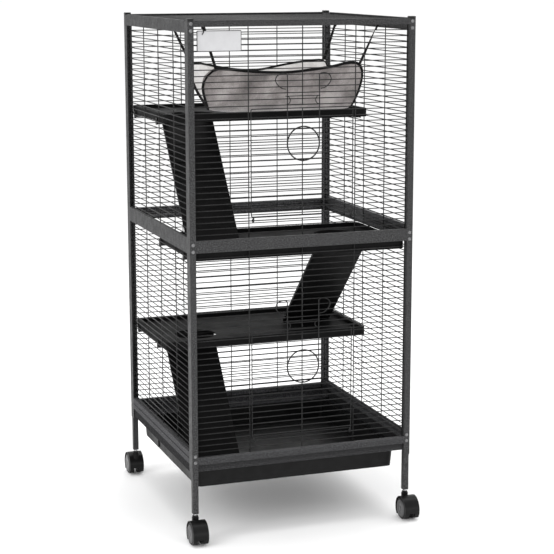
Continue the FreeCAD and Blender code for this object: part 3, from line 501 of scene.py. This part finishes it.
def front_panel(name, vs, ref):
    s = Soup()
    top = ref + 19 * PITCH
    yv, yh = -(FRONT_Y - WR + 0.05), -(FRONT_Y + WR - 0.05)
    for x in (-EX, -QX, QX, EX):
        s.rod(mm(x, yv, vs[0] - 1.2), mm(x, yv, vs[-1] + 1.2), WR * MM)
    s.rod(mm(0, yv, vs[0] - 1.2), mm(0, yv, ref + 1.4), WR * MM)
    s.rod(mm(0, yv, top - 1.4), mm(0, yv, vs[-1] + 1.2), WR * MM)
    for z in vs:
        if ref + 1 < z < top - 1:
            s.rod(mm(-EX - 1.1, yh, z), mm(-QX + 1.4, yh, z), WR * MM)
            s.rod(mm(QX - 1.4, yh, z), mm(EX + 1.1, yh, z), WR * MM)
        elif abs(z - ref) < 0.01:
            s.rod(mm(-EX - 1.1, -FRONT_Y, z), mm(EX + 1.1, -FRONT_Y, z), 1.25 * MM)
        else:
            s.rod(mm(-EX - 1.1, yh, z), mm(EX + 1.1, yh, z), WR * MM)
    o = s.build("wires_" + name, [M_WIRE], "cage")
    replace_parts(o, "wire_panel_" + name)


front_panel("front_upper", UP, UP_REF)
front_panel("front_lower", LOW, LOW_REF)


def closed_panel(name, sets):
    s = Soup()
    for axis, sign in sets:
        for vs in (LOW if axis == "y" else SIDE_LOW, UP):
            if axis == "y":
                yv, yh = sign * (FRONT_Y - WR + 0.05), sign * (FRONT_Y + WR - 0.05)
                for x in (-EX, -QX, 0, QX, EX):
                    s.rod(mm(x, yv, vs[0] - 1.2), mm(x, yv, vs[-1] + 1.2), WR * MM)
                for z in vs:
                    s.rod(mm(-EX - 1.1, yh, z), mm(EX + 1.1, yh, z), WR * MM)
            else:
                xv, xh = sign * (SIDE_X - WR + 0.05), sign * (SIDE_X + WR - 0.05)
                for y in (-EY, -QY, 0, QY, EY):
                    s.rod(mm(xv, y, vs[0] - 1.2), mm(xv, y, vs[-1] + 1.2), WR * MM)
                for z in vs:
                    s.rod(mm(xh, -EY - 1.1, z), mm(xh, EY + 1.1, z), WR * MM)
    o = s.build("wires_" + name, [M_WIRE], "cage")
    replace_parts(o, "wire_panel_" + name)


closed_panel("back", [("y", 1)])
closed_panel("left", [("x", -1)])
closed_panel("right", [("x", 1)])

roof = Soup()
RZ = 1182.25
edge = 276.0 - 9.0 - 1.25
ys = [-edge + 1.25]
k = math.ceil((-edge + 6.0 + 195.0) / PITCH)
while -195.0 + k * PITCH < edge - 6.0:
    ys.append(-195.0 + k * PITCH)
    k += 1
ys.append(edge - 1.25)
for y in ys:
    lim = EX + 1.1 if abs(y) < 255 else 254.0
    roof.rod(mm(-lim, y, RZ + WR - 0.05), mm(lim, y, RZ + WR - 0.05), WR * MM)
for x in (-QX, 0, QX):
    roof.rod(mm(x, -edge + 0.2, RZ - WR + 0.05), mm(x, edge - 0.2, RZ - WR + 0.05), WR * MM)
for x in (-EX, EX):
    roof.rod(mm(x, -255.0, RZ - WR + 0.05), mm(x, 255.0, RZ - WR + 0.05), WR * MM)
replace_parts(roof.build("wires_roof", [M_WIRE], "cage"), "wire_panel_roof")


# ------------------------------------------------------- doors and latches
def arc_pts(cx, cz, r, a0, a1, y, n=14):
    return [(cx + r * math.cos(math.radians(a0 + (a1 - a0) * i / n)), y,
             cz + r * math.sin(math.radians(a0 + (a1 - a0) * i / n))) for i in range(n + 1)]


for dname, ref, zc in (("upper", UP_REF, 912.0), ("lower", LOW_REF, 395.0)):
    low, high = ref + 7.0, ref + 252.0
    s = Soup()
    yv, yh = -(FRONT_Y - WR + 0.05), -(FRONT_Y + WR - 0.05)
    ex = 124.0 - 1.25
    # outline: one wire bent round four corners
    rr = 4.0
    loop = (arc_pts(ex - rr, high - 1.25 - rr, rr, 0, 90, yv, 5)
            + arc_pts(-ex + rr, high - 1.25 - rr, rr, 90, 180, yv, 5)
            + arc_pts(-ex + rr, low + 1.25 + rr, rr, 180, 270, yv, 5)
            + arc_pts(ex - rr, low + 1.25 + rr, rr, 270, 360, yv, 5))
    s.tube([mm(*p) for p in loop], 1.2 * MM, 8, closed=True)
    s.rod(mm(0, yv, low + 0.6), mm(0, yv, high - 0.6), WR * MM)
    k = 1
    while ref + k * PITCH < high - 4.0:
        z = ref + k * PITCH
        if z > low + 4.0:
            s.rod(mm(-ex - 0.9, yh, z), mm(ex + 0.9, yh, z), WR * MM)
        k += 1
    # hinge loops: the ends of two short wires are curled round the panel wire
    for sx in (-1, 1):
        for dx in (-1.1, 1.1):
            x = sx * 119.0 + dx
            curl = [(x, -FRONT_Y - 2.75, low + 2.2)]
            for i in range(19):
                a = math.radians(180 + 330 * i / 18)
                curl.append((x, -FRONT_Y + 2.75 * math.cos(a), ref + 2.75 * math.sin(a)))
            s.tube([mm(*q) for q in curl], 1.05 * MM, 8)
    s.plate(6 * MM, 4.4 * MM, 1.2 * MM, 1.4 * MM, mm(0, -FRONT_Y - 2 * WR + 0.2, zc - 38.5), bevel=0.3 * MM)
    o = s.build("leaf_" + dname, [M_WIRE], "door_" + dname)
    sharp(o)
    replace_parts(o, "door_" + dname)

    for side, sx in (("left", -1), ("right", 1)):
        s = Soup()
        ly, r = -271.3, 38.5
        half = [(sx * (r * math.cos(math.radians(a))), ly, zc + r * math.sin(math.radians(a)))
                for a in np.linspace(-89.2, 89.2, 41)]
        s.tube([mm(*p) for p in half], 1.6 * MM, 10)
        top = zc + 158.0
        bend = [(r, zc + 2), (r, zc + 40), (r, zc + 85), (r, zc + 120), (r, top - 8), (r + 2.0, top - 2),
                (r + 8, top), (r + 16, top - 1), (r + 24, top - 5), (r + 28, top - 13),
                (r + 26, top - 21), (r + 20, top - 28), (r + 12, top - 33.5), (r + 3.2, top - 35)]
        pts = [(sx * x, ly, z) for x, z in bend]
        s.tube([mm(*p) for p in catmull(pts, 6)], 1.15 * MM, 10)
        o = s.build("latch_wire_%s_%s" % (dname, side), [M_LATCH], "latch_%s_%s" % (dname, side))
        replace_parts(o, "latch_%s_%s_arm" % (dname, side))

    s = Soup()
    cy = -268.3
    s.rod(mm(-42, cy, zc + 107), mm(42, cy, zc + 107), 1.0 * MM)
    s.rod(mm(-31, cy, zc + 88), mm(31, cy, zc + 88), 1.0 * MM)
    for sx in (-1, 1):
        c = [(sx * (40 - 9.5 * math.cos(math.radians(a))), cy, zc + 97.5 + 9.5 * math.sin(math.radians(a)))
             for a in np.linspace(88, -88, 25)]
        s.tube([mm(*p) for p in c], 1.0 * MM, 8)
    o = s.build("catch_" + dname, [M_LATCH], "cage")
    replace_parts(o, "door_catch_" + dname)

# --------------------------------------------------------------- blank plate
s = Soup()
# the darker backing plate shows as a thin dark rim and edge round the face: painted shade for the plate's edge
# thickness
s.plate(103 * MM, 46 * MM, 1.3 * MM, 2.5 * MM, mm(-196.5, -267.3, 1144), bevel=0.4 * MM, mat=1)
s.plate(99.8 * MM, 42.8 * MM, 0.5 * MM, 1.6 * MM, mm(-196.5, -268.5, 1144), bevel=0.2 * MM)
plate = s.build("blank_plate", [M_PLATE, M_PLATE_EDGE_SHADE], "cage")
sharp(plate)
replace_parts(plate, "name_plate")
s = Soup()
hook = catmull([(-236, -269.6, 1158), (-233.5, -270.2, 1162), (-232.6, -270.4, 1167), (-235, -270.0, 1170.5),
                (-237.0, -269.4, 1173), (-235.4, -268.8, 1176), (-232.5, -268.6, 1175.2), (-231.6, -268.6, 1172.6)], 6)
s.tube([mm(*p) for p in hook], 1.1 * MM, 8)
o = s.build("plate_hook", [M_LATCH], "cage")
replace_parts(o, "name_plate_hook")

# ------------------------------------------------------------------ hammock
MID_Y, HALF_Y = -67.5, 107.5
BOTTOM, DROP = 968.0, 111.0


def curve(xs, ys):
    """Smooth line through the given points (cubic Hermite with finite-difference slopes)."""
    xs, ys = np.array(xs, float), np.array(ys, float)
    m = np.gradient(ys, xs)

    def at(x):
        k = int(np.clip(np.searchsorted(xs, x) - 1, 0, len(xs) - 2))
        h = xs[k + 1] - xs[k]
        q = (x - xs[k]) / h
        return ((2 * q ** 3 - 3 * q ** 2 + 1) * ys[k] + (q ** 3 - 2 * q ** 2 + q) * h * m[k]
                + (-2 * q ** 3 + 3 * q ** 2) * ys[k + 1] + (q ** 3 - q ** 2) * h * m[k + 1])
    return at


FRONT_SAG = curve([-1, -0.8, -0.54, -0.2, 0, 0.3, 0.6, 0.88, 1], [-1, -4, -9.5, -13.5, -14, -9.5, -3, 6, 3])
BACK_SAG = curve([-1, -0.9, -0.6, -0.2, 0, 0.3, 0.63, 0.9, 1], [0, -1, -11, -20, -19.5, -11, -3, 0, 0])
LEFT_END = curve([-1, -0.95, -0.9, -0.82, -0.7, -0.5, -0.3, 0, 0.35, 0.5, 0.65, 0.8, 1],
                 [179, 195, 201, 201, 195, 182, 171, 162, 157, 161, 167, 174, 173])
RIGHT_END = curve([-1, -0.95, -0.82, -0.5, -0.3, 0, 0.5, 0.8, 1], [179, 187, 189, 186, 185, 186, 183, 181, 173])


def sling(u, t):
    """Point of the outer cloth. u runs from the front edge to the back one, t from left to right."""
    y = MID_Y + HALF_Y * u
    z = BOTTOM + DROP * abs(u) ** 2.2
    w = min(1.0, max(0.0, abs(u) - 0.25) / 0.75)
    w = w * w * (3 - 2 * w)
    sag = FRONT_SAG(t) if u < 0 else BACK_SAG(t)
    z += sag * w
    y += (0.45 if u < 0 else -0.45) * -min(0.0, sag) * w
    if t < 0:
        z += 10.0 * abs(t) ** 5 * (1 - abs(u)) ** 1.2
    else:
        z += 2.0 * abs(t) ** 5 * (1 - abs(u)) ** 1.2
    end = LEFT_END(u) if t < 0 else RIGHT_END(u)
    # the ends take their own outline, the middle of the cloth keeps even columns
    return np.array([t * (178.0 + (end - 178.0) * abs(t) ** 2), y, z])


NU, NT = 56, 84


def cloth_point(i, j):
    u = -1 + 2.0 * i / NU
    t = -1 + 2.0 * j / NT
    p = sling(u, t)
    e = 1e-3
    du = sling(min(1, u + e), t) - sling(max(-1, u - e), t)
    dt = sling(u, min(1, t + e)) - sling(u, max(-1, t - e))
    n = np.cross(dt, du)
    n /= np.linalg.norm(n)
    if n[2] > 0:
        n = -n
    calm = min(1.0, 6.0 * min(1 - abs(u), 1 - abs(t)))
    q = Vector((p[0] * 0.016, p[1] * 0.02, p[2] * 0.02 + 3.1))
    crease = noise.noise(q) * 3.4 + noise.noise(q * 2.3) * 1.3
    fan = (math.sin(11.0 * t + 1.5 * u + 0.6) + 0.6 * math.sin(19.0 * t - u)) * 1.7 * abs(u) ** 1.5
    p = p + n * (crease + fan) * calm * (0.35 + 0.65 * abs(u))
    return p, n


outer, inner, normals = [], [], []
for i in range(NU + 1):
    for j in range(NT + 1):
        p, n = cloth_point(i, j)
        u, t = -1 + 2.0 * i / NU, -1 + 2.0 * j / NT
        rim = min(1.0, 10.0 * min(1 - abs(u), 1 - abs(t)))
        th = 2.4 + 4.2 * math.sqrt(rim)
        outer.append(p)
        inner.append(p - n * th)
verts = [v * MM for v in outer] + [v * MM for v in inner]
W = NT + 1
N = len(outer)
faces, ids = [], []
for i in range(NU):
    for j in range(NT):
        a, b, c, d = i * W + j, i * W + j + 1, (i + 1) * W + j + 1, (i + 1) * W + j
        faces.append((a, b, c, d))
        ids.append(0)
        faces.append((a + N, d + N, c + N, b + N))
        ids.append(1)
rim_loop = ([(0, j) for j in range(NT)] + [(i, NT) for i in range(NU)]
            + [(NU, j) for j in range(NT, 0, -1)] + [(i, 0) for i in range(NU, 0, -1)])
for k in range(len(rim_loop)):
    (i0, j0), (i1, j1) = rim_loop[k], rim_loop[(k + 1) % len(rim_loop)]
    a, b = i0 * W + j0, i1 * W + j1
    faces.append((a, a + N, b + N, b))
    ids.append(0)
cloth = make("hammock_cloth", verts, faces, [M_PLUSH, M_LINING], "cage", True, ids)
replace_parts(cloth, "hammock")

s = Soup()
edge_pts = [(outer[i * W + j] + inner[i * W + j]) / 2.0 for i, j in rim_loop]
keep = [edge_pts[k] for k in range(0, len(edge_pts), 2)]
# round the four corners a little
for _ in range(2):
    keep = [(keep[k - 1] + 2 * keep[k] + keep[(k + 1) % len(keep)]) / 4.0 for k in range(len(keep))]
s.tube([p * MM for p in keep], 3.3 * MM, 10, closed=True)
piping = s.build("hammock_piping", [M_PIPING], "cage")

s = Soup()
for sx in (-1, 1):
    for u, hook_y in ((-1, -195.0), (1, 63.4)):
        corner = sling(u, sx * 0.97) + np.array([0, 0, -5.0])
        top = np.array([sx * 212.0, hook_y, 1175.4])
        d = top - corner
        L = np.linalg.norm(d)
        d = d / L
        flat_side = np.array([1.0, 0, 0]) - d * d[0]
        flat_side /= np.linalg.norm(flat_side)
        cross = np.cross(d, flat_side)
        nrm = np.cross(d, cross)
        line, turn = [], []
        twist = 75.0 if (sx > 0 and u < 0) else 25.0
        for q in np.linspace(0.0, 1.0, 18):
            line.append(corner + d * L * q + np.array([0, 0, -1.2 * math.sin(math.pi * q)]))
            turn.append(math.radians(8 + twist * (q ** 1.6)))
        line = line[:-1]
        turn = turn[:-1]
        # the end folds back on itself round the ring and is sewn down
        for a, b in ((0.0, 0.0), (1.0, 0.9), (0.0, 2.2), (-6.0, 2.2), (-16.0, 2.0)):
            line.append(top + d * a + nrm * b * -1.0)
            turn.append(math.radians(8 + twist))
        w, th = 3.2, 0.85
        verts, faces = [], []
        for q, p in enumerate(line):
            a = line[max(0, q - 1)]
            b = line[min(len(line) - 1, q + 1)]
            tv = (b - a) / np.linalg.norm(b - a)
            side = math.cos(turn[q]) * flat_side + math.sin(turn[q]) * cross
            side = side - tv * np.dot(side, tv)
            side /= np.linalg.norm(side)
            nn = np.cross(tv, side)
            for ss, tt in ((-w, -th), (w, -th), (w, th), (-w, th)):
                verts.append((p + side * ss + nn * tt) * MM)
        for q in range(len(line) - 1):
            for kk in range(4):
                k2 = (kk + 1) % 4
                faces.append((q * 4 + kk, q * 4 + k2, q * 4 + 4 + k2, q * 4 + 4 + kk))
        faces.append((0, 3, 2, 1))
        m = (len(line) - 1) * 4
        faces.append((m, m + 1, m + 2, m + 3))
        s.add(verts, faces)
straps = s.build("hammock_webbing", [M_STRAP], "cage")
sharp(straps, 50)
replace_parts(straps, "hammock_straps")

# ------------------------------------------------------------------- casters
for cname, sx, sy in (("front_left", -1, -1), ("front_right", 1, -1), ("back_left", -1, 1), ("back_right", 1, 1)):
    c = mm(sx * 263.3, sy * 286.3, 26.0)
    s = Soup()
    for side in (-1, 1):
        prof = [(5.2, 0.0), (5.2, 17.0), (5.2, 24.1), (5.6, 25.1), (6.6, 25.8), (8.0, 26.0), (14.2, 26.0),
                (16.3, 25.5), (17.8, 24.3), (18.5, 22.7), (18.6, 21.4), (18.1, 20.8), (18.1, 20.2), (18.9, 19.5),
                (19.4, 18.0), (19.6, 14.8), (19.6, 9.1), (19.1, 8.5), (19.1, 7.0), (19.6, 6.4), (19.6, 0.0)]
        mats = [0] * 11 + [1] * 9
        s.lathe([(side * x * MM, r * MM) for x, r in prof], c, (1.0, 0, 0), 48, mats)
    s.rod([c[0] - 6.2 * MM, c[1], c[2]], [c[0] + 6.2 * MM, c[1], c[2]], 3.0 * MM, 20)
    o = s.build("twin_wheels_" + cname, [M_WHEEL, M_DISC], "wheels_" + cname)
    sharp(o, 40)
    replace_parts(o, "caster_wheels_" + cname)

s = Soup()
for sx in (-1, 1):
    for sy in (-1, 1):
        s.lathe([(z * MM, r * MM) for z, r in (
            (49.4, 0.0), (49.4, 3.2), (49.8, 3.5), (59.4, 3.5), (59.4, 6.0), (59.8, 6.6), (62.6, 6.6), (63.2, 6.0),
            (63.2, 4.4), (64.0, 4.4), (64.4, 3.5), (94.4, 3.5), (95.0, 3.0), (95.0, 0.0))],
            mm(sx * 263.3, sy * 268.3, 0.0), (0, 0, 1.0), 28, [0] * 3 + [1] * 5 + [0] * 5)
o = s.build("stem_pins", [M_STEEL, M_HOOD], "cage")
sharp(o, 40)
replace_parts(o, "caster_stems")

# -------------------------------------------------------- floor, light, camera
me = bpy.data.meshes.new("floor")
me.from_pydata([(-200, -200, 0), (200, -200, 0), (200, 200, 0), (-200, 200, 0)], [], [(0, 1, 2, 3)])
floor = bpy.data.objects.new("floor", me)
scene.collection.objects.link(floor)
fm, nt, b, vec = new_mat("floor_pale")
nt.links.new(ramp(nt, noise_tex(nt, vec, 3.0), [(0.3, (0.93, 0.93, 0.93)), (0.7, (0.95, 0.95, 0.95))]),
             b.inputs["Base Color"])
b.inputs["Roughness"].default_value = 0.9
me.materials.append(fm)

world = bpy.data.worlds.new("studio")
scene.world = world
world.use_nodes = True
bg = world.node_tree.nodes["Background"]
bg.inputs["Color"].default_value = (1.0, 1.0, 1.0, 1.0)
bg.inputs["Strength"].default_value = 1.08


def area(name, loc, target, size, power):
    l = bpy.data.lights.new(name, "AREA")
    l.shape = "RECTANGLE"
    l.size, l.size_y = size
    l.energy = power
    o = bpy.data.objects.new(name, l)
    o.location = loc
    o.rotation_mode = "QUATERNION"
    o.rotation_quaternion = (Vector(target) - Vector(loc)).to_track_quat("-Z", "Y")
    scene.collection.objects.link(o)


area("key_left", (-3.4, -1.2, 2.2), (0, 0, 0.6), (1.6, 2.2), 44.0)
area("top_soft", (0.3, 0.2, 3.6), (0, 0, 0.6), (2.4, 2.4), 70.0)
area("under_left", (-2.6, -0.6, 0.28), (0, 0, 0.0), (2.4, 0.4), 9.0)
area("under_right", (2.6, -0.6, 0.28), (0, 0, 0.0), (2.4, 0.4), 9.0)
area("under_front", (0.2, -2.6, 0.28), (0, 0, 0.0), (2.4, 0.4), 9.0)

cam_data = bpy.data.cameras.new("photo_camera")
cam = bpy.data.objects.new("photo_camera", cam_data)
scene.collection.objects.link(cam)
az, el = math.radians(-19.665), math.radians(10.864)
back = Vector((math.sin(az) * math.cos(el), -math.cos(az) * math.cos(el), math.sin(el)))
cam.location = (-1.2774, -3.6674, 1.3014)
cam.rotation_mode = "QUATERNION"
cam.rotation_quaternion = (-back).to_track_quat("-Z", "Y") @ Quaternion((0, 0, 1), math.radians(-0.074))
cam_data.sensor_width = 36.0
cam_data.lens = 104.72
cam_data.clip_start, cam_data.clip_end = 0.05, 500.0
scene.camera = cam
scene.view_settings.view_transform = "Standard"
